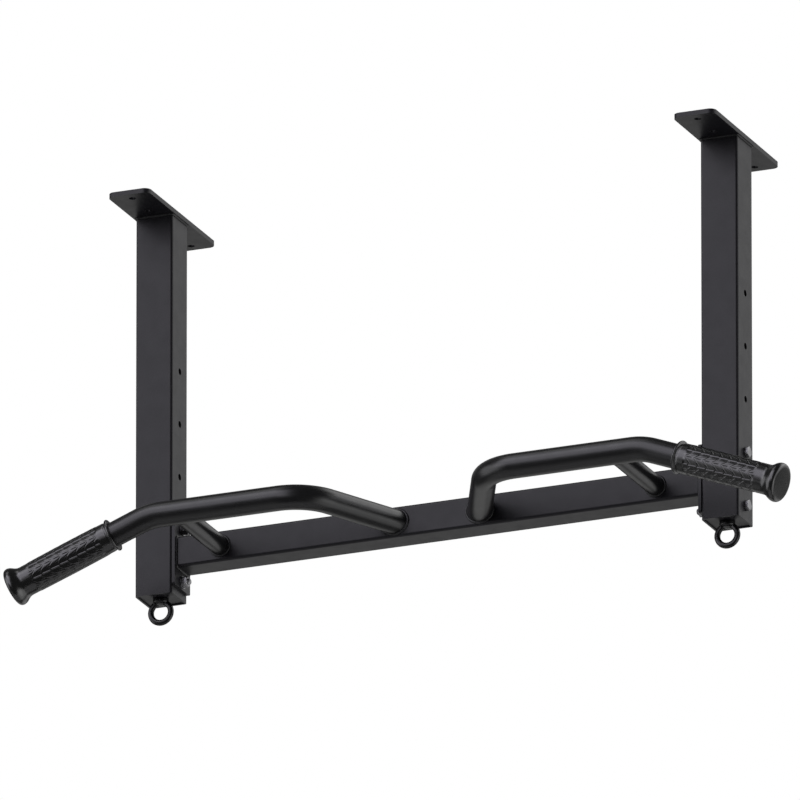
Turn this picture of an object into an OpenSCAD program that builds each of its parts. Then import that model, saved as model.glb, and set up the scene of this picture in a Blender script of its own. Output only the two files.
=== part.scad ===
// Ceiling-mounted pull-up bar: two square posts, a bolted crossbar with two welded
// multi-grip handles, rubber grips and a swivelling eye bolt under each post.
//
// Frame: millimetres, +Z up. The origin lies on the ceiling plane (the top faces of the
// ceiling plates), half way between the posts. +X runs along the crossbar and the handles
// reach forward, towards -Y.

/* [Ceiling mounting] */
// Distance between the centre lines of the two posts
post_pitch = 762; // [740:1:900]
// Width of a ceiling plate, along the crossbar
plate_w = 56; // [52:1:70]
// Length of a ceiling plate, across the crossbar
plate_l = 220; // [215:1:260]
// Thickness of a ceiling plate
plate_t = 6; // [4:0.5:8]
// Corner radius of a ceiling plate
plate_corner_r = 9; // [4:0.5:12]
// Diameter of the holes for the ceiling screws
plate_hole_d = 9; // [7:0.5:11]
// Distance between the two outer ceiling holes of a plate
outer_hole_pitch = 190; // [170:1:194]
// Distance between the two inner ceiling holes of a plate
inner_hole_pitch = 90; // [76:1:110]

/* [Posts] */
// Height from the ceiling to the lower end of the posts
drop = 508; // [460:1:620]
// Side of the square post tube
post_side = 50; // [48:1:54]
// Wall thickness of the post tube
post_wall = 2.5; // [2:0.5:3]
// Outer corner radius of the square tubes
tube_corner_r = 3.5; // [3.2:0.1:4]
// Diameter of the height-adjustment holes
post_hole_d = 8.6; // [8.4:0.1:10]
// Height of the lowest adjustment hole above the lower end of a post
first_hole = 20; // [18:1:30]
// Step between adjustment holes
hole_step = 70; // [66:1:80]
// Number of adjustment holes in a post
hole_count = 5; // [2:1:6]
// Thickness of the plate that closes the lower end of a post
cap_t = 4; // [3:0.5:5]
// Depth of that plate inside the end of the tube
cap_recess = 1.5; // [0.5:0.5:3]

/* [Crossbar] */
// Side of the square crossbar tube
bar_side = 40; // [38:1:42]
// Wall thickness of the crossbar tube
bar_wall = 2.5; // [2:0.5:3]
// Height of the crossbar's centre line above the lower end of the posts
bar_rise = 54.4; // [53:0.1:56]
// Thickness of the flange at each end of the crossbar
flange_t = 4; // [3:0.5:5]
// Height of a flange
flange_h = 90; // [86:1:94]
// Corner radius of a flange
flange_corner_r = 3; // [1:0.5:5]

/* [Handles] */
// Outside diameter of the handle tube
handle_d = 31.75; // [28:0.25:34]
// Wall thickness of the handle tube
handle_wall = 2; // [1.5:0.5:3]
// Angle between the inner leg of a handle and straight forward
leg_angle = 24.9; // [15:0.1:30]
// Place along the crossbar of the inner bend's corner point
inner_corner_x = 120.5; // [115:0.1:135]
// Place along the crossbar of the outer bend's corner point
outer_corner_x = 331.5; // [328:0.5:345]
// Reach of the handles in front of the posts' centre plane
reach = 156.1; // [145:0.1:165]
// Centre-line radius of the inner bend
inner_bend_r = 60; // [45:1:70]
// Centre-line radius of the outer bend
outer_bend_r = 84; // [60:1:100]
// Slope of the grip ends below the horizontal
grip_slope = 21; // [10:0.5:25]
// Length of the sloping end, from the outer corner point to the grip's outer face
grip_end = 199; // [196:1:205]

/* [Braces] */
// Outside diameter of the brace tube
brace_d = 25; // [20:0.5:28]
// Wall thickness of the brace tube
brace_wall = 2; // [1.5:0.5:3]
// Place of a brace along the crossbar
brace_x = 293; // [280:1:300]

/* [Grips] */
// Outside diameter of the grip sleeve
grip_d = 39.5; // [38:0.5:42]
// Length of the grip with its end knob
grip_l = 148; // [140:1:152]
// Outside diameter of the collar at the inner end
grip_collar_d = 42.5; // [42:0.5:48]
// Outside diameter of the end knob
grip_knob_d = 50; // [47:0.5:54]
// Length of the flare that leads to the end knob, with the knob
grip_flare_l = 22; // [18:1:26]
// Thickness of rubber beyond the end of the tube
grip_end_t = 5; // [4:0.5:8]

/* [Eye bolts] */
// Radius of the ring's centre line
eye_ring_r = 13.4; // [13:0.1:14]
// Radius of the ring's round stock
eye_stock_r = 3.8; // [3.5:0.1:4]
// Diameter of the collar that seats under the post
eye_collar_d = 20; // [18:0.5:22]
// Height of the collar
eye_collar_h = 7; // [6:0.5:8]
// Length of the shank above the collar
eye_shank_l = 13; // [11:0.5:14]
// Turn that the swivelling eye makes to each side, in degrees
eye_turn = 90; // [0:1:180]

/* [Fasteners] */
// Nominal diameter of the bolts and the eye bolts' shanks
thread_d = 8; // [8:1:8]
// Distance across the flats of the bolt heads and nuts
hex_af = 13; // [13:1:13]
// Height of a bolt head
head_h = 5.3; // [5:0.1:6]
// Height of a nut
nut_h = 6.5; // [6:0.1:7]
// Outside diameter of a washer
washer_d = 16; // [15:1:17]
// Thickness of a washer
washer_t = 1.6; // [1.2:0.1:2]
// Length of a crossbar bolt under its head
bolt_l = 65; // [63:1:70]

/* [Hidden] */
$fn = 96;
// Radial clearance of the eye bolt's shank in its weld nut
thread_gap = 0.05;
// Gap between the eye bolt's collar and the plate above it
collar_gap = 0.2;
// Clearance hole for a bolt in a washer or flange
bolt_hole_d = post_hole_d;
// Clearance hole for the shank in the plate that closes the post
cap_hole_d = thread_d + 1;
// Bore of the weld nut and the solid radius of the shank
nut_bore_r = thread_d / 2;
shank_r = nut_bore_r - thread_gap;
// Overlap that keeps cut-outs clear of coincident faces
eps = 1;
// Length that a straight tube laps into a bend, and the extra thickness of the bend's wall there
lap = 0.5;
bend_swell = 0.05;
// Circle around a hexagon of the given size across its flats
hex_d = hex_af / cos(30);
post_x = post_pitch / 2;
post_in = post_side / 2;
flange_in_x = post_x - post_in - flange_t;
bar_half = flange_in_x;
bar_z = bar_rise - drop;
bar_front_y = -bar_side / 2;
flange_mid_z = first_hole + hole_step / 2 - drop;
bolt_z = [first_hole - drop, first_hole + hole_step - drop];
cap_bottom_z = cap_recess - drop;
// The ring's outer circle touches the seat, so its centre lies this far below the cap
eye_centre_z = cap_bottom_z - collar_gap - eye_ring_r - eye_stock_r;
// Handle path, right-hand side
inner_bend_angle = 90 - leg_angle;
inner_tangent = inner_bend_r * tan(inner_bend_angle / 2);
outer_tangent = outer_bend_r * tan(grip_slope / 2);
leg_reach = reach + bar_front_y;
leg_len = leg_reach / cos(leg_angle) - inner_tangent;
run_len = outer_corner_x - inner_corner_x - inner_tangent - outer_tangent;
tube_end = grip_end - grip_end_t;
// The tube's leg starts this far inside the crossbar before its end is trimmed to the face
leg_extra = handle_d;
// A cutter this wide trims the parts of a handle or brace that lie inside the crossbar
trim = 4 * handle_d;

// ---- shared shapes ------------------------------------------------------------------

// Rectangle of size w by l with round corners, centred
module rounded_rect(w, l, r) {
    square([w - 2 * r, l], center = true);
    square([w, l - 2 * r], center = true);
    for (x = [-1, 1])
        for (y = [-1, 1])
            translate([x * (w / 2 - r), y * (l / 2 - r)])
                circle(r);
}

// Outline of a square tube's wall
module tube_section(side, wall, r) {
    difference() {
        rounded_rect(side, side, r);
        rounded_rect(side - 2 * wall, side - 2 * wall, r - wall);
    }
}

// Turns a shape made along +Z so that it lies along +X
module along_x() {
    rotate([0, 90, 0])
        children();
}

// Straight round tube along +Z
module pipe(d, wall, l) {
    difference() {
        cylinder(d = d, h = l);
        translate([0, 0, -eps])
            cylinder(d = d - 2 * wall, h = l + 2 * eps);
    }
}

// Tube bend that starts at the origin along +Z and turns towards +X. Its wall is a hair thicker
// than the straight tube's, so that the straight tube can lap into it.
module bend(d, wall, r, angle) {
    translate([r, 0, 0])
        rotate([90, 0, 0])
            rotate([0, 0, 180])
                mirror([0, 1, 0])
                    rotate_extrude(angle = angle)
                        translate([r, 0])
                            difference() {
                                circle(d = d + 2 * bend_swell);
                                circle(d = d - 2 * wall - 2 * bend_swell);
                            }
}

// Moves children to the far end of such a bend
module after_bend(r, angle) {
    translate([r * (1 - cos(angle)), 0, r * sin(angle)])
        rotate([0, angle, 0])
            children();
}

// ---- posts --------------------------------------------------------------------------

module ceiling_plate() {
    color("#3b3a3e")
        translate([post_x, 0, -plate_t])
            difference() {
                linear_extrude(plate_t)
                    rounded_rect(plate_w, plate_l, plate_corner_r);
                for (pitch = [outer_hole_pitch, inner_hole_pitch])
                    for (y = [-pitch / 2, pitch / 2])
                        translate([0, y, -eps])
                            cylinder(d = plate_hole_d, h = plate_t + 2 * eps);
            }
}

module post() {
    color("#3b3a3e")
        difference() {
            translate([post_x, 0, -drop])
                linear_extrude(drop - plate_t)
                    tube_section(post_side, post_wall, tube_corner_r);
            for (i = [0:hole_count - 1])
                translate([post_x - post_side, 0, first_hole + i * hole_step - drop])
                    along_x()
                        cylinder(d = post_hole_d, h = 2 * post_side);
        }
}

module post_cap() {
    color("#3f3e41")
        translate([post_x, 0, cap_bottom_z])
            difference() {
                linear_extrude(cap_t)
                    rounded_rect(post_side - 2 * post_wall, post_side - 2 * post_wall,
                                 tube_corner_r - post_wall);
                translate([0, 0, -eps])
                    cylinder(d = cap_hole_d, h = cap_t + 2 * eps);
            }
}

module eye_nut() {
    color("#8f9092")
        translate([post_x, 0, cap_bottom_z + cap_t])
            difference() {
                cylinder(d = hex_d, h = nut_h, $fn = 6);
                translate([0, 0, -eps])
                    cylinder(r = nut_bore_r, h = nut_h + 2 * eps);
            }
}

module eye_bolt() {
    seat_z = cap_bottom_z - collar_gap;
    color("#1b1b1d")
        translate([post_x, 0, 0]) {
            translate([0, 0, eye_centre_z])
                rotate([90, 0, 0])
                    rotate_extrude()
                        translate([eye_ring_r, 0])
                            circle(eye_stock_r);
            translate([0, 0, seat_z - eye_collar_h])
                cylinder(d = eye_collar_d, h = eye_collar_h);
            translate([0, 0, seat_z - eye_collar_h / 2])
                cylinder(r = shank_r, h = eye_collar_h / 2 + collar_gap + eye_shank_l);
        }
}

// ---- crossbar -----------------------------------------------------------------------

module crossbar() {
    color("#3b3a3e")
        translate([-bar_half, 0, bar_z])
            along_x()
                linear_extrude(2 * bar_half)
                    tube_section(bar_side, bar_wall, tube_corner_r);
}

module flange() {
    color("#3b3a3e")
        difference() {
            translate([flange_in_x, 0, flange_mid_z])
                along_x()
                    linear_extrude(flange_t)
                        rounded_rect(flange_h, post_side, flange_corner_r);
            for (z = bolt_z)
                translate([flange_in_x - eps, 0, z])
                    along_x()
                        cylinder(d = bolt_hole_d, h = flange_t + 2 * eps);
        }
}

// ---- handles ------------------------------------------------------------------------

// Places children at the outer corner point, with +Z along the sloping grip end
module at_grip_end() {
    translate([outer_corner_x, -reach, bar_z])
        rotate([0, 90 + grip_slope, 0])
            children();
}

// Inner leg of a handle and the bend after it, then children from the bend's far end
module handle_leg(d, wall) {
    path_l = leg_len + inner_tangent + leg_extra;
    start_x = inner_corner_x - path_l * sin(leg_angle);
    start_y = path_l * cos(leg_angle) - reach;
    translate([start_x, start_y, bar_z])
        rotate([0, 0, leg_angle])
            rotate([90, 0, 0]) {
                pipe(d, wall, leg_len + leg_extra + lap);
                translate([0, 0, leg_len + leg_extra]) {
                    bend(d, wall, inner_bend_r, inner_bend_angle);
                    after_bend(inner_bend_r, inner_bend_angle)
                        children();
                }
            }
}

// Straight run of a handle, the outer bend, which turns down, and the grip's tube
module handle_run(d, wall) {
    translate([0, 0, -lap])
        pipe(d, wall, run_len + 2 * lap);
    translate([0, 0, run_len])
        rotate([0, 0, -90]) {
            bend(d, wall, outer_bend_r, grip_slope);
            after_bend(outer_bend_r, grip_slope)
                translate([0, 0, -lap])
                    pipe(d, wall, tube_end - outer_tangent + lap);
        }
}

module handle() {
    color("#2f2f31")
        difference() {
            handle_leg(handle_d, handle_wall)
                handle_run(handle_d, handle_wall);
            translate([inner_corner_x - trim, bar_front_y, bar_z - trim / 2])
                cube([trim, trim, trim]);
        }
}

module brace() {
    color("#2f2f31")
        difference() {
            translate([brace_x, bar_front_y, bar_z])
                rotate([90, 0, 0])
                    pipe(brace_d, brace_wall, reach + bar_front_y);
            translate([brace_x - brace_d, -reach, bar_z])
                along_x()
                    cylinder(d = handle_d, h = 2 * brace_d);
        }
}

// ---- grips --------------------------------------------------------------------------

module grip() {
    collar_l = 3;
    edge = 1;
    knob_l = 11;
    knob_round = 3;
    dome = 1;
    sleeve_r = grip_d / 2;
    collar_r = grip_collar_d / 2;
    knob_r = grip_knob_d / 2;
    color("#1c1c1d")
        at_grip_end()
            translate([0, 0, grip_end - grip_l])
                rotate_extrude()
                    polygon([
                        [handle_d / 2, 0],
                        [collar_r - edge, 0],
                        [collar_r, edge],
                        [collar_r, collar_l - edge],
                        [collar_r - edge, collar_l],
                        [sleeve_r, collar_l + edge],
                        [sleeve_r, grip_l - grip_flare_l],
                        [knob_r - edge, grip_l - knob_l],
                        [knob_r, grip_l - knob_l + knob_round],
                        [knob_r, grip_l - dome - knob_round],
                        [knob_r - knob_round, grip_l - dome],
                        [knob_r / 2, grip_l],
                        [0, grip_l],
                        [0, grip_l - grip_end_t],
                        [handle_d / 2, grip_l - grip_end_t]
                    ]);
}

// ---- fasteners ----------------------------------------------------------------------

// Places children on each bolt's axis, at the post's outer face, with +Z towards the centre
module at_bolts() {
    for (z = bolt_z)
        translate([post_x + post_in, 0, z])
            rotate([0, -90, 0])
                children();
}

module bolts() {
    color("#6c6c6e")
        at_bolts() {
            translate([0, 0, -head_h])
                rotate([0, 0, 90])
                    cylinder(d = hex_d, h = head_h, $fn = 6);
            cylinder(d = thread_d, h = bolt_l);
        }
}

module washers() {
    color("#6c6c6e")
        at_bolts()
            translate([0, 0, post_side + flange_t])
                difference() {
                    cylinder(d = washer_d, h = washer_t);
                    translate([0, 0, -eps])
                        cylinder(d = bolt_hole_d, h = washer_t + 2 * eps);
                }
}

module nuts() {
    color("#6c6c6e")
        at_bolts()
            translate([0, 0, post_side + flange_t + washer_t])
                difference() {
                    rotate([0, 0, 90])
                        cylinder(d = hex_d, h = nut_h, $fn = 6);
                    translate([0, 0, -eps])
                        cylinder(d = thread_d, h = nut_h + 2 * eps);
                }
}

// Mirrors a right-hand piece to the left-hand side
module left() {
    mirror([1, 0, 0])
        children();
}

// ---- nodes --------------------------------------------------------------------------

left() ceiling_plate();  // left_ceiling_plate
ceiling_plate();  // right_ceiling_plate
left() post();  // left_post
post();  // right_post
left() post_cap();  // left_post_cap
post_cap();  // right_post_cap
left() eye_nut();  // left_eye_nut
eye_nut();  // right_eye_nut
left() eye_bolt();  // left_eye_bolt
eye_bolt();  // right_eye_bolt
crossbar();
left() flange();  // left_flange
flange();  // right_flange
left() handle();  // left_handle
handle();  // right_handle
left() brace();  // left_brace
brace();  // right_brace
left() grip();  // left_grip
grip();  // right_grip
left() bolts();  // left_bolts
bolts();  // right_bolts
left() washers();  // left_washers
washers();  // right_washers
left() nuts();  // left_nuts
nuts();  // right_nuts
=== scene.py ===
import math

import bmesh
import bpy
import numpy as np
from mathutils import Matrix, Vector


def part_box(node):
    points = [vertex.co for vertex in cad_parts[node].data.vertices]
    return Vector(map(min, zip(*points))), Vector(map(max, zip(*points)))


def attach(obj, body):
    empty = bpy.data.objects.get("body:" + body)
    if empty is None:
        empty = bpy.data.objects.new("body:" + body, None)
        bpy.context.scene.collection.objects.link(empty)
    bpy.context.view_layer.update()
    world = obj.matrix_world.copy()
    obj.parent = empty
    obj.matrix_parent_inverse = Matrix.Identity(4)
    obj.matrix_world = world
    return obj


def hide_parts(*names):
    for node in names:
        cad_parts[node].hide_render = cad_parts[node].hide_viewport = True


MM = 0.001

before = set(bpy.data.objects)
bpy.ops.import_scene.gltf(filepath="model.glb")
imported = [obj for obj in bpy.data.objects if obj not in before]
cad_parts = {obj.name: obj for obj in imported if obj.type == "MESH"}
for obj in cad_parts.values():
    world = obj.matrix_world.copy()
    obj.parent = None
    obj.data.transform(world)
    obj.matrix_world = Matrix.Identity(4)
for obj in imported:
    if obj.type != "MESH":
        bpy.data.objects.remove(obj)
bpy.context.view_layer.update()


# ---------------------------------------------------------------- sizes, in millimetres

# Places are read from the frame's boxes, so that the pieces sit where the CAD puts them.
bar_lo, bar_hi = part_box("crossbar")
bar_z = (bar_lo.z + bar_hi.z) / 2 / MM
bar_half = (bar_hi.z - bar_lo.z) / 2 / MM
bar_front = bar_lo.y / MM
bar_end = bar_hi.x / MM
post_lo, post_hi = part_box("right_post")
post_x = (post_lo.x + post_hi.x) / 2 / MM
post_half = (post_hi.x - post_lo.x) / 2 / MM
post_top = post_hi.z / MM
handle_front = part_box("right_handle")[0].y / MM
bolts_lo, bolts_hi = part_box("right_bolts")
nuts_lo, nuts_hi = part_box("right_nuts")
washers_lo, washers_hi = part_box("right_washers")
eye_lo, eye_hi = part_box("right_eye_bolt")

# Sizes that the CAD also has, but that its boxes don't give.
tube_r = 31.75 / 2
brace_r = 12.5
brace_x = 293
run_y = handle_front + tube_r
inner_corner_x = 120.5
outer_corner_x = 331.5
leg_angle = math.radians(24.9)
inner_bend = 60
outer_bend = 84
grip_slope = math.radians(21)
bar_corner_r = 3.0
post_corner_r = 3.5
washer_r = 8

to_front = np.array([0, -1.0, 0])
up = np.array([0, 0, 1.0])

# ---------------------------------------------------------------- mesh helpers


def add_object(name, data):
    obj = bpy.data.objects.new(name, data)
    bpy.context.scene.collection.objects.link(obj)
    return obj


def remove(obj):
    """Deletes an object and its mesh."""
    mesh = obj.data
    bpy.data.objects.remove(obj)
    bpy.data.meshes.remove(mesh)


def new_object(name, verts, faces, smooth=True):
    """An object from points in millimetres."""
    mesh = bpy.data.meshes.new(name)
    mesh.from_pydata([tuple(float(c) * MM for c in v) for v in verts], [], faces)
    mesh.update()
    if smooth:
        mesh.polygons.foreach_set("use_smooth", [True] * len(mesh.polygons))
    return add_object(name, mesh)


def grid_faces(rings, around, closed_loop=False):
    """Faces between rings of points that follow each other in one list."""
    faces = []
    last = rings if closed_loop else rings - 1
    for i in range(last):
        a = i * around
        b = (i + 1) % rings * around
        for j in range(around):
            k = (j + 1) % around
            faces.append((a + j, a + k, b + k, b + j))
    return faces


def fan(ring, around, centre, flip):
    """Faces from one ring's points to a centre point. flip turns them over."""
    first = ring * around
    faces = []
    for j in range(around):
        k = (j + 1) % around
        faces.append((first + j, first + k, centre) if flip else (first + k, first + j, centre))
    return faces


def unit(v):
    return v / np.linalg.norm(v)


def tube_mesh(points, ups, rings, closed_loop=False):
    """Points of a sweep. rings is one ring of (a, b) offsets, or one for each point, and ups holds the
    b axis at each point."""
    points = np.asarray(points, float)
    n = len(points)
    if closed_loop:
        tangents = np.roll(points, -1, 0) - np.roll(points, 1, 0)
    else:
        tangents = np.gradient(points, axis=0)
    one_each = len(np.shape(rings)) == 3
    verts = []
    for i in range(n):
        t = unit(tangents[i])
        b_axis = unit(ups[i] - (ups[i] @ t) * t)
        a_axis = np.cross(t, b_axis)
        for a, b in rings[i] if one_each else rings:
            verts.append(points[i] + a * a_axis + b * b_axis)
    return verts


def circle(radius, around):
    """Points evenly round a circle, as (a, b) offsets."""
    step = 2 * math.pi / around
    return [(radius * math.cos(j * step), radius * math.sin(j * step)) for j in range(around)]


def cap_ends(verts, faces, rings, around):
    """Closes both ends of an open sweep with a fan, and returns the lists."""
    for ring, flip in ((0, False), (rings - 1, True)):
        first = ring * around
        verts.append(np.mean(np.array(verts[first : first + around]), 0))
        faces += fan(ring, around, len(verts) - 1, flip)
    return verts, faces


def fix_normals(obj):
    """Turns every face outward."""
    bm = bmesh.new()
    bm.from_mesh(obj.data)
    bmesh.ops.recalc_face_normals(bm, faces=bm.faces)
    bm.to_mesh(obj.data)
    bm.free()
    obj.data.update()
    return obj


def mirrored(obj, name):
    """A copy of obj mirrored in the plane X = 0."""
    mesh = obj.data.copy()
    mesh.transform(Matrix.Scale(-1, 4, Vector((1, 0, 0))))
    mesh.flip_normals()
    mesh.name = name
    return add_object(name, mesh)


def apply_modifiers(obj):
    depsgraph = bpy.context.evaluated_depsgraph_get()
    mesh = bpy.data.meshes.new_from_object(obj.evaluated_get(depsgraph))
    obj.modifiers.clear()
    old = obj.data
    obj.data = mesh
    bpy.data.meshes.remove(old)
    return obj


def shade(obj, degrees):
    """Smooth shading with sharp edges where faces meet at more than this angle."""
    mesh = obj.data
    mesh.polygons.foreach_set("use_smooth", [True] * len(mesh.polygons))
    bm = bmesh.new()
    bm.from_mesh(mesh)
    limit = math.radians(degrees)
    for edge in bm.edges:
        edge.smooth = len(edge.link_faces) == 2 and edge.calc_face_angle(0) < limit
    bm.to_mesh(mesh)
    bm.free()
    return obj


def lathe(name, profile, origin, axis, start, around=64):
    """Turns (t, r) points about the line through origin along axis. Both ends of the profile have r = 0,
    and axis and start are unit vectors, square to each other."""
    origin, axis, b_axis = (np.array(v, float) for v in (origin, axis, start))
    a_axis = np.cross(axis, b_axis)
    verts = []
    inner = profile[1:-1]
    for t, r in inner:
        for a, b in circle(r, around):
            verts.append(origin + t * axis + a * a_axis + b * b_axis)
    faces = grid_faces(len(inner), around)
    for (t, _), ring, flip in ((profile[0], 0, False), (profile[-1], len(inner) - 1, True)):
        verts.append(origin + t * axis)
        faces += fan(ring, around, len(verts) - 1, flip)
    return fix_normals(new_object(name, verts, faces))


def join(objects, name):
    """One object from several, in the order given."""
    verts, faces = [], []
    for o in objects:
        base = len(verts)
        verts += [o.matrix_world @ v.co for v in o.data.vertices]
        faces += [tuple(base + i for i in p.vertices) for p in o.data.polygons]
        remove(o)
    mesh = bpy.data.meshes.new(name)
    mesh.from_pydata(verts, [], faces)
    mesh.update()
    return add_object(name, mesh)


# ---------------------------------------------------------------- materials


class Nodes:
    """A material's node tree, with short ways to add linked nodes."""

    def __init__(self, name):
        self.material = bpy.data.materials.new(name)
        self.material.use_nodes = True
        self.tree = self.material.node_tree
        self.shader = self.tree.nodes["Principled BSDF"]
        self.coords = self.tree.nodes.new("ShaderNodeTexCoord").outputs["Object"]

    def add(self, kind, **inputs):
        """A new node with constants on its sockets. A _ in a key stands for a space."""
        node = self.tree.nodes.new(kind)
        for key, value in inputs.items():
            node.inputs[key.replace("_", " ")].default_value = value
        return node

    def link(self, a, b):
        self.tree.links.new(a, b)

    def noise(self, scale, detail):
        node = self.add("ShaderNodeTexNoise", Scale=scale, Detail=detail, Roughness=0.55)
        self.link(self.coords, node.inputs["Vector"])
        return node.outputs["Fac"]

    def remap(self, value, low, high, from_low=0.3, from_high=0.7):
        node = self.add("ShaderNodeMapRange", From_Min=from_low, From_Max=from_high, To_Min=low, To_Max=high)
        self.link(value, node.inputs["Value"])
        return node.outputs["Result"]

    def mix(self, fac, a, b):
        """Two colours, each a tuple or another node's output, mixed by fac."""
        node = self.tree.nodes.new("ShaderNodeMix")
        node.data_type = "RGBA"
        self.link(fac, node.inputs["Factor"])
        for socket, value in ((node.inputs["A"], a), (node.inputs["B"], b)):
            if isinstance(value, tuple):
                socket.default_value = (*value, 1.0)
            else:
                self.link(value, socket)
        return node.outputs["Result"]

    def bump(self, height, distance, under=None):
        node = self.add("ShaderNodeBump", Strength=1.0, Distance=distance)
        self.link(height, node.inputs["Height"])
        if under is not None:
            self.link(under, node.inputs["Normal"])
        return node.outputs["Normal"]

    def mottle(self, scale, detail, dark, light):
        """A colour that wanders between dark and light."""
        return self.mix(self.remap(self.noise(scale, detail), 0, 1), dark, light)

    def base(self, colour):
        self.link(colour, self.shader.inputs["Base Color"])

    def rough(self, scale, detail, low, high):
        self.link(self.remap(self.noise(scale, detail), low, high), self.shader.inputs["Roughness"])

    def normal(self, bump):
        self.link(bump, self.shader.inputs["Normal"])

    def set(self, socket, value):
        self.shader.inputs[socket].default_value = value


FLECK_LIFT = 1.35  # how much paler the flecks are
FINE_PEEL = 0.22  # the fine grain's height, as a part of the coarse one's


def powder_coat(name, dark, light, rough, peel, specular=0.5):
    """Satin paint: pale flecks on a wandering tone, over coarse and fine orange peel."""
    n = Nodes(name)
    pale = tuple(c * FLECK_LIFT for c in light)
    fleck = n.remap(n.noise(1500, 2), 0, 1, from_low=0.35)
    n.base(n.mix(fleck, n.mottle(24, 4, dark, light), pale))
    n.rough(60, 4, *rough)
    coarse = n.bump(n.noise(330, 2), peel)
    n.normal(n.bump(n.noise(1300, 2), peel * FINE_PEEL, under=coarse))
    n.set("Specular IOR Level", specular)
    return n.material


def zinc_material():
    n = Nodes("zinc_plate")
    n.base(n.mottle(160, 4, (0.28, 0.28, 0.285), (0.38, 0.38, 0.39)))
    n.rough(420, 3, 0.34, 0.5)
    n.normal(n.bump(n.noise(900, 3), 0.00003))
    n.set("Metallic", 1.0)
    return n.material


def rubber_material():
    n = Nodes("grip_rubber")
    n.base(n.mottle(90, 4, (0.0012, 0.0012, 0.0013), (0.0020, 0.0020, 0.0022)))
    n.rough(260, 3, 0.21, 0.25)
    n.normal(n.bump(n.noise(900, 2), 0.000004))
    n.set("Specular IOR Level", 1.0)
    return n.material


def weld_material():
    n = Nodes("painted_weld")
    n.base(n.mottle(300, 4, (0.007, 0.007, 0.008), (0.010, 0.010, 0.0112)))
    n.rough(500, 3, 0.3, 0.42)
    n.normal(n.bump(n.noise(700, 3), 0.00012))
    return n.material


def floor_material():
    n = Nodes("pale_floor")
    n.base(n.mottle(2.5, 5, (0.76, 0.76, 0.75), (0.80, 0.80, 0.79)))
    n.rough(8, 3, 0.5, 0.7)
    return n.material


frame_paint = powder_coat(
    "frame_powder_coat",
    dark=(0.0065, 0.0062, 0.0080),
    light=(0.0090, 0.0085, 0.0108),
    rough=(0.34, 0.41),
    peel=0.00004,
    specular=0.34,
)
handle_paint = powder_coat(
    "handle_powder_coat",
    dark=(0.0045, 0.0045, 0.0048),
    light=(0.0062, 0.0062, 0.0067),
    rough=(0.27, 0.33),
    peel=0.00002,
    specular=0.6,
)
eye_paint = powder_coat(
    "eye_gloss_black",
    dark=(0.002, 0.002, 0.0022),
    light=(0.003, 0.003, 0.0033),
    rough=(0.22, 0.28),
    peel=0.00004,
)
zinc = zinc_material()
rubber = rubber_material()
weld_paint = weld_material()


def paint(obj, material, body=None):
    """Gives a piece its material, and says which body it rides."""
    obj.data.materials.clear()
    obj.data.materials.append(material)
    if body:
        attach(obj, body)


def both_sides(right, material, node=None):
    """Adds the left twin of a right-hand piece, says what both are made of, and hides the CAD pieces that
    they replace.
    """
    left = mirrored(right, right.name.replace("right", "left"))
    for obj, side in ((right, "right"), (left, "left")):
        paint(obj, material, "frame")
        if node:
            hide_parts(f"{side}_{node}")


# ---------------------------------------------------------------- handles and braces

TUBE_AROUND = 96
TUBE_CREASE = 50  # degrees: a sharper edge isn't shaded smooth
GRIP_TUBE = 190  # from the outer corner to the tube's end, inside the grip's knob
FOOT_DEPTH = 1.2  # how far a foot reaches into the crossbar's front wall
BRACE_AROUND = 80
BRACE_ROWS = 14
BRACE_LAP = 0.8  # how far the brace reaches into the handle's tube


def arc_path(points, radii, step=1.6):
    """Points along a polyline whose inner corners are rounded to the given radii."""
    points = [np.array(p, float) for p in points]
    path = [points[0]]
    for a, b, c, r in zip(points[:-2], points[1:-1], points[2:], radii):
        u, v = unit(a - b), unit(c - b)
        turn = math.acos(float(np.clip(u @ v, -1, 1)))
        cut = r / math.tan(turn / 2)
        centre = b + unit(u + v) * r / math.sin(turn / 2)
        x = unit(b + u * cut - centre)
        arc_end = b + v * cut - centre
        y = unit(arc_end - (arc_end @ x) * x)
        sweep = math.pi - turn
        count = max(8, math.ceil(sweep * r / step))
        for k in range(count + 1):
            w = sweep * k / count
            path.append(centre + r * (x * math.cos(w) + y * math.sin(w)))
    path.append(points[-1])
    return np.array(path)


def long_steps(path, longest=12.0):
    """The same path, with its straight stretches cut into steps of about this length."""
    out = [path[0]]
    for a, b in zip(path[:-1], path[1:]):
        n = max(1, int(np.linalg.norm(b - a) / longest))
        out += [a + (b - a) * k / n for k in range(1, n + 1)]
    return np.array(out)


leg_run = bar_front - run_y
leg_foot = (inner_corner_x - leg_run * math.tan(leg_angle), bar_front, bar_z)
grip_dir = np.array([math.cos(grip_slope), 0, -math.sin(grip_slope)])
grip_top = np.array([math.sin(grip_slope), 0, math.cos(grip_slope)])
outer_corner = np.array([outer_corner_x, run_y, bar_z])


def make_handle():
    """One bent tube: the leg from the crossbar, the run along it, and the slope that carries the grip."""
    corners = [leg_foot, (inner_corner_x, run_y, bar_z), outer_corner, outer_corner + grip_dir * GRIP_TUBE]
    path = long_steps(arc_path(corners, [inner_bend, outer_bend]))
    verts = tube_mesh(path, [up] * len(path), circle(tube_r, TUBE_AROUND))
    leg = unit(path[1] - path[0])
    for j in range(TUBE_AROUND):
        # the foot is cut flat, just inside the bar's front wall
        p = verts[j]
        verts[j] = p + leg * ((bar_front + FOOT_DEPTH - p[1]) / leg[1])
    faces = grid_faces(len(path), TUBE_AROUND)
    verts, faces = cap_ends(verts, faces, len(path), TUBE_AROUND)
    return shade(fix_normals(new_object("right_handle_tube", verts, faces)), TUBE_CREASE)


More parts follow.
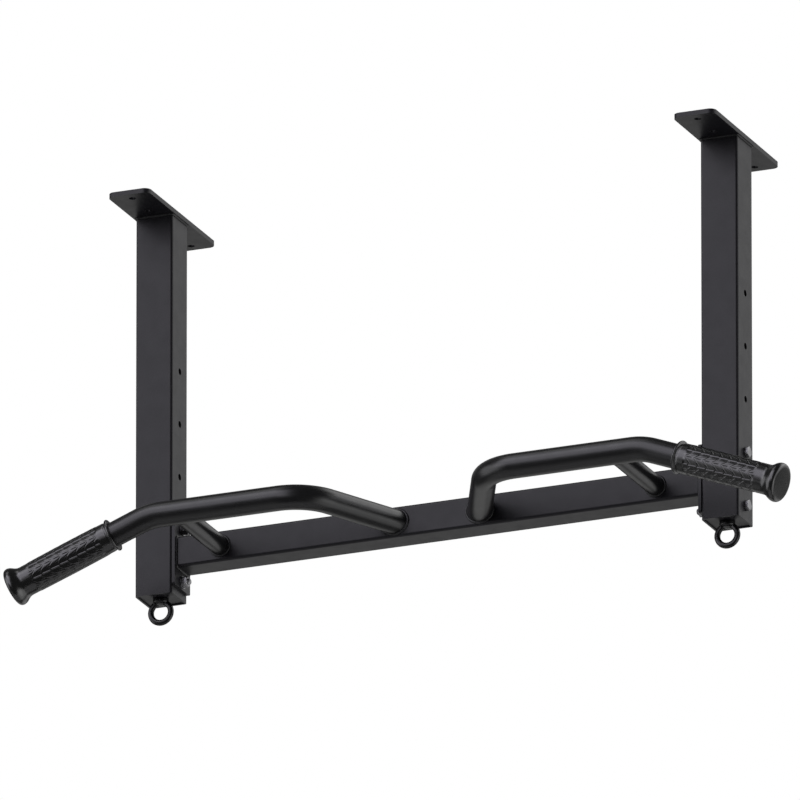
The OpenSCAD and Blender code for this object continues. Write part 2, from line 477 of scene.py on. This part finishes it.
def make_brace():
    """A straight tube whose far end follows the round back of the handle."""
    start = bar_front + FOOT_DEPTH
    verts = []
    for i in range(BRACE_ROWS):
        w = i / (BRACE_ROWS - 1)
        for a, b in circle(brace_r, BRACE_AROUND):
            end = run_y + math.sqrt(tube_r**2 - b**2) - BRACE_LAP
            verts.append(np.array([brace_x + a, start + (end - start) * w, bar_z + b]))
    faces = grid_faces(BRACE_ROWS, BRACE_AROUND)
    verts, faces = cap_ends(verts, faces, BRACE_ROWS, BRACE_AROUND)
    return shade(fix_normals(new_object("right_brace_tube", verts, faces)), TUBE_CREASE)


both_sides(make_handle(), handle_paint, "handle")
both_sides(make_brace(), handle_paint, "brace")

# ---------------------------------------------------------------- weld beads

WELD_POINTS = 300
BEAD_SIDES = 12
BEAD_PITCH = 2.1
BEAD_OUT = 0.4  # from a tube's skin out to the middle of its bead
BEAD_OFF = 0.3  # from a wall to the middle of a bead that lies on it
SADDLE_OFF = 0.2  # from the handle's skin to the middle of the bead behind it
DRIFT_TERMS = 12
SQUARE_SIDE = 70  # points along each flat of a square bead
SQUARE_CORNER = 12
LEG_BEAD_R = 1.7
BRACE_BEAD_R = 1.6
SADDLE_BEAD_R = 1.3
BAR_BEAD_R = 1.9
POST_BEAD_R = 1.7


def bead(name, loop, outward, size, seed):
    """A closed weld bead along loop. outward points out of the joint at each point."""
    loop = np.array(loop, float)
    gaps = np.linalg.norm(np.roll(loop, -1, 0) - loop, axis=1)
    along = np.r_[0, np.cumsum(gaps)[:-1]]
    total = float(gaps.sum())
    ripples = max(6, round(total / BEAD_PITCH))
    drift = np.random.default_rng(seed).normal(0, 1, DRIFT_TERMS)
    rings = []
    for s in along:
        ripple = math.sqrt(math.sin(math.pi * (s / total * ripples % 1.0)))
        w = s / total * 2 * math.pi
        # the size also drifts slowly round the loop, so that no two stretches are alike
        wander = sum(
            drift[k] * math.sin((k % 6 + 2) * w + drift[(k + 5) % DRIFT_TERMS] * 3)
            for k in range(DRIFT_TERMS)
        )
        rings.append(circle(size * (0.94 + 0.12 * ripple + 0.012 * wander), BEAD_SIDES))
    verts = tube_mesh(loop, outward, rings, closed_loop=True)
    return fix_normals(new_object(name, verts, grid_faces(len(loop), BEAD_SIDES, closed_loop=True)))


def rounded_square(half, radius):
    """Points and outward directions round a square with rounded corners, in its own plane."""
    points, outs = [], []
    flat = half - radius
    for q in range(4):
        c, s = math.cos(q * math.pi / 2), math.sin(q * math.pi / 2)
        for k in range(SQUARE_SIDE):
            y = -flat + 2 * flat * k / SQUARE_SIDE
            points.append((half * c - y * s, half * s + y * c))
            outs.append((c, s))
        for k in range(SQUARE_CORNER):
            w = k / SQUARE_CORNER * math.pi / 2
            x = flat + radius * math.cos(w)
            y = flat + radius * math.sin(w)
            points.append((x * c - y * s, x * s + y * c))
            outs.append((math.cos(w) * c - math.sin(w) * s, math.cos(w) * s + math.sin(w) * c))
    return points, outs


def leg_weld():
    """Round the handle's foot, where the slanting tube meets the bar's front wall."""
    leg = np.array([math.sin(leg_angle), -math.cos(leg_angle), 0])
    across = np.array([math.cos(leg_angle), math.sin(leg_angle), 0])
    loop, outs = [], []
    for a, b in circle(1, WELD_POINTS):
        radial = a * across + b * up
        skin = np.array(leg_foot) + tube_r * radial
        on_wall = skin + leg * ((bar_front - skin[1]) / leg[1])
        loop.append(on_wall + radial * BEAD_OUT + to_front * BEAD_OFF)
        outs.append(radial)
    return bead("right_leg_weld", loop, outs, LEG_BEAD_R, seed=1)


def brace_weld():
    """Round the brace's foot on the bar's front wall."""
    loop, outs = [], []
    for a, b in circle(1, WELD_POINTS):
        radial = np.array([a, 0, b])
        on_wall = np.array([brace_x, bar_front, bar_z]) + radial * (brace_r + BEAD_OUT)
        loop.append(on_wall + to_front * BEAD_OFF)
        outs.append(radial)
    return bead("right_brace_weld", loop, outs, BRACE_BEAD_R, seed=2)


def saddle_weld():
    """Where the brace runs into the back of the handle's round tube."""
    r = brace_r + BEAD_OFF
    loop, outs = [], []
    for a, b in circle(1, WELD_POINTS):
        y = run_y + math.sqrt(tube_r**2 - (r * b) ** 2)
        loop.append(np.array([brace_x + r * a, y + SADDLE_OFF, bar_z + r * b]))
        outs.append(np.array([a, 0, b]))
    return bead("right_saddle_weld", loop, outs, SADDLE_BEAD_R, seed=3)


def square_weld(name, half, radius, centre, e1, e2, normal, size, seed):
    """A bead round a square tube that ends on a plate. normal points away from the plate."""
    centre, e1, e2, normal = (np.array(v, float) for v in (centre, e1, e2, normal))
    points, outs = rounded_square(half + BEAD_OFF, radius + BEAD_OFF)
    loop = [centre + x * e1 + y * e2 + normal * BEAD_OFF for x, y in points]
    dirs = [x * e1 + y * e2 for x, y in outs]
    return bead(name, loop, dirs, size, seed)


def bar_weld():
    centre = (bar_end, 0, bar_z)
    e1, e2, inward = (0, 1, 0), (0, 0, 1), (-1, 0, 0)
    return square_weld("right_bar_weld", bar_half, bar_corner_r, centre, e1, e2, inward, BAR_BEAD_R, 4)


def post_weld():
    centre = (post_x, 0, post_top)
    e1, e2, down = (1, 0, 0), (0, 1, 0), (0, 0, -1)
    return square_weld("right_post_weld", post_half, post_corner_r, centre, e1, e2, down, POST_BEAD_R, 5)


both_sides(leg_weld(), weld_paint)
both_sides(brace_weld(), weld_paint)
both_sides(saddle_weld(), weld_paint)
both_sides(bar_weld(), weld_paint)
both_sides(post_weld(), weld_paint)

# ---------------------------------------------------------------- grips

GRIP_AROUND = 288
ROW_STEP = 0.5  # between rows, measured along the profile
ROW_STEP_ENDS = 0.45
BODY = (58, 178)  # the stretch between collar and knob
SLEEVE_R = 19.6  # turns an angle round the sleeve into mm along its skin

# The pattern repeats in panels round the sleeve, each with leaves either side of a spine.
SPINE = -2.5  # the first spine's angle from the front, degrees
PANEL = 60.0  # degrees
LEAF_PITCH = 12.8
LEAF_FIRST = 68.2
LEAF_SWEEP = 1.15  # how far a leaf runs along the grip for each mm away from its spine
LEAF_HEIGHT = 0.42
HOLLOW_DEPTH = 0.45  # how far the skin beyond the leaves is sunk
NOTCH_DEPTH = 0.5
NOTCH_WIDTH = 0.55
DASH_DEPTH = 0.6
DASH_WIDTH = 1.5  # degrees
RIDGE_HEIGHT = 0.6
RIDGE_WIDTH = 1.8  # degrees
RIDGE_FIRST = 6.5  # from the first leaf
FADE_IN = (66.0, 69.5)
FADE_OUT = (163.5, 168.0)

# The vent hole in the end face: how far its middle is towards the front and the top, its edge's inner and
# outer radius, and its depth.
VENT_FRONT = -11
VENT_TOP = 3
VENT_EDGE = (0.9, 1.35)
VENT_DEPTH = 1.8
END_FACE = 197  # what lies beyond this distance is the end face

# (distance from the outer corner, radius) of the smooth sleeve, from the collar to the end face
GRIP_COLLAR = [
    (51.0, 15.6), (51.0, 18.0), (51.0, 20.1), (51.2, 20.8), (51.7, 21.2), (52.4, 21.35),
    (53.1, 21.2), (53.7, 20.8), (54.0, 20.2), (54.25, 19.5), (54.6, 18.9), (55.3, 18.6),
    (56.2, 18.65), (57.4, 18.95),
]
GRIP_BODY = [
    (59.0, 19.1), (66.0, 19.2), (80.0, 19.35), (95.0, 19.45), (110.0, 19.5), (125.0, 19.45),
    (140.0, 19.35), (155.0, 19.25), (166.0, 19.15), (177.0, 19.1),
]
GRIP_KNOB = [
    (179.0, 19.2), (181.0, 19.6), (183.0, 20.4), (185.0, 21.5), (187.0, 22.8), (188.6, 23.75),
    (190.2, 24.4), (191.8, 24.78), (193.2, 24.88), (194.6, 24.7), (195.9, 24.2), (196.9, 23.5),
    (197.7, 22.5), (198.2, 21.3), (198.45, 20.0), (198.65, 17.0), (198.8, 12.0), (198.95, 6.0),
    (199.0, 0.0),
]


def smooth_curve(x, y, at):
    """A monotone cubic through the points, so that the profile has no corners."""
    h = np.diff(x)
    slope = np.diff(y) / h
    m = np.zeros(len(x))
    m[0], m[-1] = slope[0], slope[-1]
    for i in range(1, len(x) - 1):
        a, b = slope[i - 1], slope[i]
        if a * b > 0:
            w1, w2 = 2 * h[i] + h[i - 1], h[i] + 2 * h[i - 1]
            m[i] = (w1 + w2) / (w1 / a + w2 / b)
    i = np.clip(np.searchsorted(x, at, side="right") - 1, 0, len(x) - 2)
    u = (at - x[i]) / h[i]
    return (
        y[i] * (1 + 2 * u) * (1 - u) ** 2
        + m[i] * h[i] * u * (1 - u) ** 2
        + y[i + 1] * u * u * (3 - 2 * u)
        + m[i + 1] * h[i] * u * u * (u - 1)
    )


def smooth_rows():
    """Distances and radii of the rows along the grip, closer together at both ends than in the body."""
    t, r = np.array(GRIP_COLLAR + GRIP_BODY + GRIP_KNOB).T
    s = np.r_[0, np.cumsum(np.hypot(np.diff(t), np.diff(r)))]
    rows = []
    for a, b, ta in zip(s[:-1], s[1:], t[:-1]):
        step = ROW_STEP if BODY[0] < ta < BODY[1] else ROW_STEP_ENDS
        n = max(1, round((b - a) / step))
        rows += [a + (b - a) * k / n for k in range(n)]
    rows = np.array(rows)
    return smooth_curve(s, t, rows), smooth_curve(s, r, rows)


def step_up(x, low, high):
    """0 below low, 1 above high, and smooth between."""
    u = np.clip((x - low) / (high - low), 0, 1)
    return u * u * (3 - 2 * u)


def swell(x, width):
    """A rounded hump about x = 0."""
    return np.exp(-((x / width) ** 2))


def fraction(x):
    return x - np.floor(x)


def grip_relief(t, angle):
    """Height of the moulded pattern, in mm, at distance t along the grip and this angle in degrees."""
    from_spine = (angle - SPINE + PANEL / 2) % PANEL - PANEL / 2
    off = np.abs(from_spine)
    arc = off * math.radians(1) * SLEEVE_R
    f = fraction((t - LEAF_SWEEP * arc - LEAF_FIRST) / LEAF_PITCH)
    # each leaf widens from its root to its tip, where a deep notch cuts it off
    reach = 2.0 + 3.6 * f
    leaf = 1 - step_up(arc, reach - 1.0, reach + 0.8)
    rise = step_up(f, 0.0, 0.22) * (1 - 0.35 * f)
    height = LEAF_HEIGHT * leaf * (0.5 + 0.5 * rise) - HOLLOW_DEPTH * step_up(off, 12, 26)
    notch = swell(((f + 0.5) % 1.0 - 0.5) * LEAF_PITCH, NOTCH_WIDTH)
    height -= NOTCH_DEPTH * notch * (1 - step_up(off, 17, 26)) * step_up(off, 0.5, 3.0)
    # the dashed groove along the spine
    g = fraction((t - LEAF_FIRST - 1.0) / LEAF_PITCH)
    dash = step_up(g, 0.06, 0.2) * (1 - step_up(g, 0.66, 0.8))
    height -= DASH_DEPTH * dash * swell(from_spine - 0.9 * (g - 0.4), DASH_WIDTH)
    # the thin ridge between two panels
    from_ridge = (angle - SPINE) % PANEL - PANEL / 2
    q = fraction((t - LEAF_FIRST - RIDGE_FIRST) / LEAF_PITCH)
    window = 0.35 + 0.65 * step_up(q, 0.0, 0.15) * (1 - step_up(q, 0.85, 1.0))
    height += RIDGE_HEIGHT * window * swell(from_ridge - 2.6 * (q - 0.5), RIDGE_WIDTH)
    return height * step_up(t, *FADE_IN) * (1 - step_up(t, *FADE_OUT))


def make_grip():
    """The rubber sleeve: the turned profile, the moulded pattern and the vent hole."""
    t_rows, r_rows = smooth_rows()
    rows = len(t_rows)
    t, a = np.meshgrid(t_rows, np.arange(GRIP_AROUND) * (360 / GRIP_AROUND), indexing="ij")
    r = np.repeat(r_rows[:, None], GRIP_AROUND, 1)
    r = np.where((t > BODY[0]) & (t < BODY[1]), r + grip_relief(t, a), r)
    ca, sa = np.cos(np.radians(a)), np.sin(np.radians(a))
    from_vent = np.hypot(r * ca - VENT_FRONT, r * sa - VENT_TOP)
    t = np.where(t > END_FACE, t - VENT_DEPTH * (1 - step_up(from_vent, *VENT_EDGE)), t)
    outward = ca[..., None] * to_front + sa[..., None] * grip_top
    points = outer_corner + t[..., None] * grip_dir + r[..., None] * outward
    verts, faces = cap_ends(list(points.reshape(-1, 3)), grid_faces(rows, GRIP_AROUND), rows, GRIP_AROUND)
    return fix_normals(new_object("right_grip_sleeve", verts, faces))


both_sides(make_grip(), rubber, "grip")

# ---------------------------------------------------------------- bolts and nuts

HEX_AF = 13.0  # across the flats
HEX_CORNER = HEX_AF / 2 / math.cos(math.pi / 6)
FASTENER_CREASE = 40
FACE_R = 6.0  # the round bearing face under a bolt's head
FACE_GAP = 0.35  # from the bearing side to the hexagon
FACE_EDGE = 0.1
HEAD_CHAMFER = 1.05
HEAD_EDGE = 0.18  # width of the bevel on every sharp edge
NUT_CHAMFER = 0.95
NUT_EDGE = 0.15
NUT_BORE_R = 4.05
NUT_SINK_R = 4.75  # the countersink's radius 1 mm outside the nut
NUT_SINK = 0.55  # how deep the countersink reaches
THREAD_R = 4.0
THREAD_PITCH = 1.25
THREAD_DEPTH = 0.68
THREAD_ROWS = 10  # per turn
THREAD_AROUND = 40
END_CHAMFER = 0.9
END_TAPER = 1.0
ROD_START = 0.3  # the rod starts just inside the bolt's head


def hex_prism(name, x0, x1, y, z):
    """A plain hexagonal bar along X."""
    verts = []
    for x in (x0, x1):
        for k in range(6):
            w = math.pi / 6 + k * math.pi / 3
            verts.append((x, y + HEX_CORNER * math.cos(w), z + HEX_CORNER * math.sin(w)))
    faces = [tuple(range(6)), tuple(range(6, 12))]
    faces += [(k, (k + 1) % 6, 6 + (k + 1) % 6, 6 + k) for k in range(6)]
    return fix_normals(new_object(name, verts, faces, smooth=False))


def lathe_x(name, profile, x, y, z, side=1, around=64):
    """Turns a profile about a line along X, towards side."""
    return lathe(name, profile, (x, y, z), (side, 0, 0), (0, 0, 1), around)


def boolean(obj, other, operation):
    """Cuts obj by another solid, or keeps what they share. The other solid is used up."""
    modifier = obj.modifiers.new("cut", "BOOLEAN")
    modifier.operation = operation
    modifier.solver = "EXACT"
    modifier.object = other
    apply_modifiers(obj)
    remove(other)


def soften(obj, width):
    """Bevels the sharp edges."""
    modifier = obj.modifiers.new("soften", "BEVEL")
    modifier.width = width * MM
    modifier.segments = 2
    modifier.limit_method = "ANGLE"
    modifier.angle_limit = math.radians(30)
    return apply_modifiers(obj)


def bolt_head(name, x0, x1, y, z):
    """x0 is the bearing side and x1 the outer, chamfered side."""
    side = 1 if x1 > x0 else -1
    h = abs(x1 - x0)
    prism = hex_prism(name, x0 + side * FACE_GAP, x1, y, z)
    chamfer = [(h - HEAD_CHAMFER, HEX_CORNER + 0.35), (h, HEX_AF / 2 - 0.45)]
    cone = lathe_x("cone", [(0.2, 0), (0.2, HEX_CORNER + 1), *chamfer, (h, 0)], x0, y, z, side, 96)
    boolean(prism, cone, "INTERSECT")
    soften(prism, HEAD_EDGE)
    disc = [(0, 0), (0, FACE_R - FACE_EDGE), (FACE_EDGE, FACE_R), (0.5, FACE_R), (0.5, 0)]
    return join([prism, lathe_x("face", disc, x0, y, z, side)], name)


def threaded_end(name, x0, x1, y, z, r):
    """A rod from x0 to x1 with a real helical thread and a chamfered end at x1."""
    side = 1 if x1 > x0 else -1
    length = abs(x1 - x0)
    rows = int(length / THREAD_PITCH * THREAD_ROWS)
    verts = []
    for i in range(rows + 1):
        s = length * i / rows
        chamfer = END_CHAMFER * (1 - min(1.0, (length - s) / END_TAPER))
        for j in range(THREAD_AROUND):
            w = 2 * math.pi * j / THREAD_AROUND
            f = (s / THREAD_PITCH - j / THREAD_AROUND) % 1.0
            radius = r - max(THREAD_DEPTH * abs(2 * f - 1) ** 1.2, chamfer)
            verts.append((x0 + side * s, y + radius * math.cos(w), z + radius * math.sin(w)))
    verts, faces = cap_ends(verts, grid_faces(rows + 1, THREAD_AROUND), rows + 1, THREAD_AROUND)
    return fix_normals(new_object(name, verts, faces))


def hex_nut(name, x0, x1, y, z):
    """A nut with both rims chamfered and its bore countersunk at both ends."""
    h = x1 - x0
    flat = HEX_AF / 2 - 0.35
    rim = HEX_CORNER + 0.3
    cone = [(0, 0), (0, flat), (NUT_CHAMFER, rim), (h - NUT_CHAMFER, rim), (h, flat), (h, 0)]
    bore = [(-1, 0), (-1, NUT_SINK_R), (NUT_SINK, NUT_BORE_R)]
    bore += [(h - NUT_SINK, NUT_BORE_R), (h + 1, NUT_SINK_R), (h + 1, 0)]
    prism = hex_prism(name, x0, x1, y, z)
    boolean(prism, lathe_x("cone", cone, x0, y, z, around=96), "INTERSECT")
    boolean(prism, lathe_x("bore", bore, x0, y, z), "DIFFERENCE")
    return soften(prism, NUT_EDGE)


head_inner = post_x + post_half
bolt_parts, nut_parts = [], []
for k, z in enumerate((washers_lo.z / MM + washer_r, washers_hi.z / MM - washer_r)):
    bolt_parts.append(bolt_head(f"head_{k}", head_inner, bolts_hi.x / MM, 0, z))
    bolt_parts.append(threaded_end(f"rod_{k}", head_inner + ROD_START, bolts_lo.x / MM, 0, z, THREAD_R))
    nut_parts.append(hex_nut(f"nut_{k}", nuts_lo.x / MM, nuts_hi.x / MM, 0, z))
right_bolts = shade(join(bolt_parts, "right_hex_bolts"), FASTENER_CREASE)
right_nuts = shade(join(nut_parts, "right_hex_nuts"), FASTENER_CREASE)
both_sides(right_bolts, zinc, "bolts")
both_sides(right_nuts, zinc, "nuts")

# ---------------------------------------------------------------- eye bolts

RING_R = 13.4
STOCK_R = 3.8
RING_POINTS = 120
STOCK_AROUND = 40
COLLAR_R = 10.0
SHANK_ABOVE = 13.0  # from the shoulder's top face to the shank's end in the CAD
SHANK_R = 3.9
SHANK_LENGTH = 12.9
SHANK_SUNK = 0.3  # how far the shank starts below the shoulder's top face
EYE_CREASE = 45
FUSE_VOXEL = 0.36  # the size of the voxels that fuse ring and shoulder

# (distance below the top face, radius) of the shoulder
SHOULDER = [(0, 0), (0, 9.3), (0.5, 9.9), (1.2, COLLAR_R), (4.6, COLLAR_R), (5.9, 9.1), (7.4, 6.6), (8.4, 0)]


def torus(name, centre, ring_r, stock_r):
    """A round ring in the XZ plane."""
    verts = []
    for x, z in circle(1, RING_POINTS):
        out = np.array([x, 0, z])
        for a, b in circle(stock_r, STOCK_AROUND):
            verts.append(np.array(centre) + out * (ring_r + a) + np.array([0, b, 0]))
    return fix_normals(new_object(name, verts, grid_faces(RING_POINTS, STOCK_AROUND, closed_loop=True)))


def make_eye(name, x):
    """A forged eye: ring and shoulder run into each other, and above them is a threaded shank."""
    top = eye_hi.z / MM - SHANK_ABOVE
    ring = torus("ring", (x, 0, eye_lo.z / MM + RING_R + STOCK_R), RING_R, STOCK_R)
    shoulder = lathe("shoulder", SHOULDER, (x, 0, top), (0, 0, -1), (0, 1, 0))
    forged = join([ring, shoulder], name)
    fuse = forged.modifiers.new("fuse", "REMESH")
    fuse.mode = "VOXEL"
    fuse.voxel_size = FUSE_VOXEL * MM
    fuse.use_smooth_shade = True
    blend = forged.modifiers.new("blend", "SMOOTH")
    blend.factor = 0.5
    blend.iterations = 7
    apply_modifiers(forged)
    # the top face stays flat and below the post's cap
    for v in forged.data.vertices:
        v.co.z = min(v.co.z, top * MM)
    # the shank is built along X, then stood up
    shank = threaded_end("shank", 0, SHANK_LENGTH, 0, 0, SHANK_R)
    stand = Matrix.Rotation(-math.pi / 2, 4, "Y")
    shank.data.transform(Matrix.Translation((x * MM, 0, (top - SHANK_SUNK) * MM)) @ stand)
    return shade(join([forged, shank], name), EYE_CREASE)


for side, sign in (("right", 1), ("left", -1)):
    eye = make_eye(f"{side}_forged_eye", sign * post_x)
    paint(eye, eye_paint, f"{side}_eye")
    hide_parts(f"{side}_eye_bolt")

# ---------------------------------------------------------------- the CAD pieces that stay

for name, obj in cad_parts.items():
    if not obj.hide_render:
        paint(obj, zinc if name.endswith(("washers", "eye_nut")) else frame_paint)

# ---------------------------------------------------------------- floor

FLOOR_Z = -2500
FLOOR_R = 1100
FLOOR_DEPTH = 40
RIM_IN = 20  # the chamfer of the disc's upper rim
RIM_DOWN = 6

disc = [(0, 0), (0, FLOOR_R - RIM_IN), (RIM_DOWN, FLOOR_R), (FLOOR_DEPTH, FLOOR_R), (FLOOR_DEPTH, 0)]
floor = lathe("floor", disc, (0, 0, FLOOR_Z), (0, 0, -1), (0, 1, 0), 96)
floor.data.materials.append(floor_material())

# ---------------------------------------------------------------- light

# The studio: large soft panels round the object, seen only as light and in reflections. Each is a patch of
# the sky: azimuth and elevation of its middle, half width, half height, soft edge (degrees), strength, tint.
PANELS = [
    (-23, 28, 21, 18, 14, 1.60, (0.98, 0.955, 1.07)),
    (-66, 0, 14, 18, 14, 1.20, (1.0, 1.0, 1.03)),
    (153, 20, 12, 6, 14, 0.64, (1.0, 1.0, 1.0)),
    (140, 46, 22, 8, 16, 1.40, (1.0, 1.0, 1.0)),
    (113, 20, 14, 12, 16, 1.10, (1.0, 1.0, 1.02)),
    (90, -12, 12, 8, 16, 0.80, (1.0, 1.0, 1.0)),
    (100, -36, 24, 14, 16, 0.90, (1.0, 1.0, 1.0)),
    (-150, -26, 12, 16, 16, 0.38, (1.0, 1.0, 0.99)),
    (-150, 36, 26, 10, 14, 0.14, (1.0, 1.0, 1.0)),
    (-62, 69, 14, 6, 11, 0.95, (1.0, 1.0, 1.0)),
    (-38, 55, 5, 7, 8, 1.10, (0.98, 0.97, 1.04)),
    (-40, 1, 6, 6, 9, 0.80, (1.0, 0.98, 1.05)),
    (-3, -1, 6, 6, 9, 0.80, (1.0, 0.98, 1.05)),
    (164, -20, 13, 10, 12, 0.74, (1.0, 1.0, 1.0)),
    (-80, -60, 40, 12, 16, 0.34, (1.0, 1.0, 1.0)),
]
ROOM = 0.07  # the light that comes from everywhere else

world = bpy.data.worlds.new("studio")
bpy.context.scene.world = world
world.use_nodes = True
tree = world.node_tree
tree.nodes.clear()


def world_math(operation, *values):
    node = tree.nodes.new("ShaderNodeMath")
    node.operation = operation
    for socket, value in zip(node.inputs, values):
        if isinstance(value, (int, float)):
            socket.default_value = value
        else:
            tree.links.new(value, socket)
    return node.outputs["Value"]


def soft_window(value, half, edge):
    """1 within half of zero, 0 beyond half plus edge."""
    node = tree.nodes.new("ShaderNodeMapRange")
    node.interpolation_type = "SMOOTHSTEP"
    node.inputs["From Min"].default_value = half + edge
    node.inputs["From Max"].default_value = half
    tree.links.new(world_math("ABSOLUTE", value), node.inputs["Value"])
    return node.outputs["Result"]


def panel_light(azimuth, elevation):
    """The colour of the studio in one direction: the room and every panel, added up."""
    light = None
    for az, el, half_w, half_h, edge, strength, tint in PANELS:
        off = world_math("WRAP", world_math("SUBTRACT", azimuth, az), 180.0, -180.0)
        width = soft_window(off, half_w, edge)
        height = soft_window(world_math("SUBTRACT", elevation, el), half_h, edge)
        glow = tree.nodes.new("ShaderNodeVectorMath")
        glow.operation = "SCALE"
        glow.inputs[0].default_value = [c * strength for c in tint]
        tree.links.new(world_math("MULTIPLY", width, height), glow.inputs["Scale"])
        added = tree.nodes.new("ShaderNodeVectorMath")
        added.operation = "ADD"
        tree.links.new(glow.outputs["Vector"], added.inputs[0])
        if light is None:
            added.inputs[1].default_value = (ROOM,) * 3
        else:
            tree.links.new(light, added.inputs[1])
        light = added.outputs["Vector"]
    return light


direction = tree.nodes.new("ShaderNodeSeparateXYZ")
tree.links.new(tree.nodes.new("ShaderNodeTexCoord").outputs["Generated"], direction.inputs["Vector"])
front = world_math("MULTIPLY", direction.outputs["Y"], -1.0)
azimuth = world_math("DEGREES", world_math("ARCTAN2", direction.outputs["X"], front))
elevation = world_math("DEGREES", world_math("ARCSINE", direction.outputs["Z"]))

# the camera itself sees plain white behind the object
studio = tree.nodes.new("ShaderNodeBackground")
tree.links.new(panel_light(azimuth, elevation), studio.inputs["Color"])
white = tree.nodes.new("ShaderNodeBackground")
white.inputs["Color"].default_value = (1, 1, 1, 1)
seen = tree.nodes.new("ShaderNodeLightPath").outputs["Is Camera Ray"]
mix = tree.nodes.new("ShaderNodeMixShader")
tree.links.new(seen, mix.inputs["Fac"])
tree.links.new(studio.outputs["Background"], mix.inputs[1])
tree.links.new(white.outputs["Background"], mix.inputs[2])
tree.links.new(mix.outputs["Shader"], tree.nodes.new("ShaderNodeOutputWorld").inputs["Surface"])

# A weak lamp, above and to the front left. Lengths are in metres.
KEY_PLACE = Vector((-1.4, -2.4, 1.6))
KEY_TARGET = Vector((0, 0, -0.3))

key = bpy.data.lights.new("key", "AREA")
key.shape = "RECTANGLE"
key.size = 1.6
key.size_y = 1.2
key.energy = 4
key_light = add_object("key", key)
key_light.location = KEY_PLACE
key_light.rotation_mode = "QUATERNION"
key_light.rotation_quaternion = (KEY_TARGET - KEY_PLACE).to_track_quat("-Z", "Y")
key_light.visible_camera = False

# ---------------------------------------------------------------- camera

# A far camera with a narrow view, from the front right and below. Lengths are in metres.
CAMERA_AZIMUTH = math.radians(22.40)
CAMERA_ELEVATION = math.radians(-19.60)
HALF_WIDTH = 0.4996
HALF_ANGLE = math.radians(0.62)
AIM = Vector((-0.0852, 0.0653, -0.2609))
SENSOR_WIDTH = 36  # in millimetres, as the lens is
NEAR_CLIP = 1.0
BEYOND_AIM = 20

distance = HALF_WIDTH / math.tan(HALF_ANGLE)
across = math.cos(CAMERA_ELEVATION)
away = Vector(
    (math.sin(CAMERA_AZIMUTH) * across, -math.cos(CAMERA_AZIMUTH) * across, math.sin(CAMERA_ELEVATION))
)
camera_data = bpy.data.cameras.new("camera")
camera_data.sensor_width = SENSOR_WIDTH
camera_data.lens = SENSOR_WIDTH / 2 / math.tan(HALF_ANGLE)
camera_data.clip_start = NEAR_CLIP
camera_data.clip_end = distance + BEYOND_AIM
camera = add_object("camera", camera_data)
camera.location = AIM + away * distance
camera.rotation_mode = "QUATERNION"
camera.rotation_quaternion = (-away).to_track_quat("-Z", "Y")
bpy.context.scene.camera = camera
bpy.context.scene.view_settings.view_transform = "Standard"
